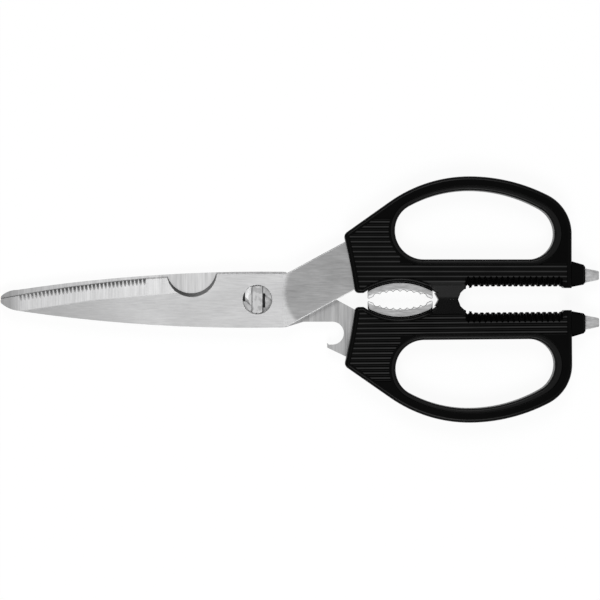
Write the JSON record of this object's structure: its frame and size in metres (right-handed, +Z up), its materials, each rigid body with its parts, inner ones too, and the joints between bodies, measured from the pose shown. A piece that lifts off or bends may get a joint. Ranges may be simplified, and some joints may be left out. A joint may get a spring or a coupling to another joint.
{
  "type": "kitchen shears",
  "caption": "Take-apart kitchen shears with a serrated blade, bone notch, bottle opener, toothed jaws, finger loops and screwdriver tips.",
  "frame": {"origin": "middle of the bounding box on the surface that the handles lie on, shears closed", "axes": "+X from the blade tips to the screwdriver tips, +Y towards the front blade's handle, +Z up"},
  "size_m": [0.2284, 0.0938, 0.011],
  "materials": {
    "front_blade_steel": "satin ground",
    "rear_blade_steel": "satin ground",
    "pivot_steel": "satin ground",
    "jaw_metal": "matt, blasted",
    "driver_metal": "matt, blasted",
    "handle_plastic": "fine satin"
  },
  "bodies": {
    "rear_half": {"rear_blade": "rear_blade_steel", "rear_handle": "handle_plastic", "rear_jaw": "jaw_metal", "rear_driver": "driver_metal", "pivot_stud": "pivot_steel", "pivot_washer": "pivot_steel"},
    "front_half": {"front_blade": "front_blade_steel", "front_handle": "handle_plastic", "front_jaw": "jaw_metal", "front_driver": "driver_metal"}
  },
  "joints": [
    {"name": "pivot", "type": "hinge", "parent": "rear_half", "child": "front_half", "pos_m": [-0.0162, -0.00003, 0.0055], "axis": [0, 0, 1], "range_deg": [0, 127]}
  ]
}
